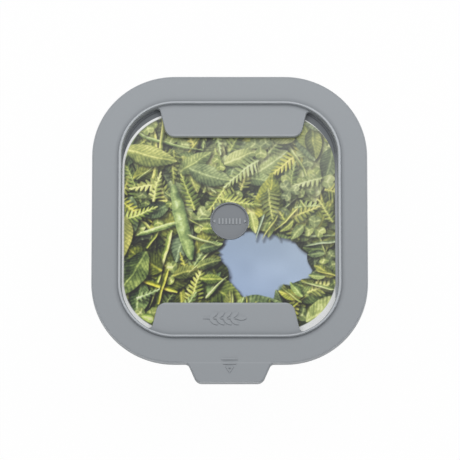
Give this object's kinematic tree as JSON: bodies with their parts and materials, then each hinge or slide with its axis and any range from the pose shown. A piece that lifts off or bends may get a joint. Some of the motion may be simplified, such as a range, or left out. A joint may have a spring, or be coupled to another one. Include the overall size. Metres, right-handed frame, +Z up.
{
  "type": "food storage container",
  "caption": "Rounded oblong glass food keeper with a push-on soft-framed lid, clear window, printed card, turning vent, pull tab and lift-out drain tray.",
  "frame": {"origin": "centre of the container's flat underside", "axes": "+Z up through the lid, the pull tab points along -Y, X across the lid"},
  "size_m": [0.1506, 0.173, 0.0544],
  "materials": {
    "glass": "clear pressed glass",
    "tray_plastic": "satin white plastic",
    "grey_silicone": "matt soft grey",
    "clear_plastic": "clear stiff panel",
    "printed_card": "satin leaf print",
    "grey_plastic": "satin grey",
    "pale_silicone": "matt soft",
    "spring_steel": "bright strip steel"
  },
  "bodies": {
    "container": {"glass_container": "glass"},
    "tray": {"drain_tray": "tray_plastic"},
    "lid": {"lid_frame": "grey_silicone", "lid_window": "clear_plastic", "label_card": "printed_card", "vent_gasket": "pale_silicone"},
    "vent": {"vent_dial": "grey_plastic", "vent_shutter": "grey_plastic", "vent_clip": "spring_steel"}
  },
  "joints": [
    {"name": "lid_lift", "type": "slide", "parent": "container", "child": "lid", "axis": [0, 0, 1], "range_m": [0, 0.08]},
    {"name": "vent_turn", "type": "hinge", "parent": "lid", "child": "vent", "pos_m": [0, 0, 0.045], "axis": [0, 0, 1], "range_deg": [-45, 45]},
    {"name": "tray_lift", "type": "slide", "parent": "container", "child": "tray", "axis": [0, 0, 1], "range_m": [0, 0.0235]}
  ]
}
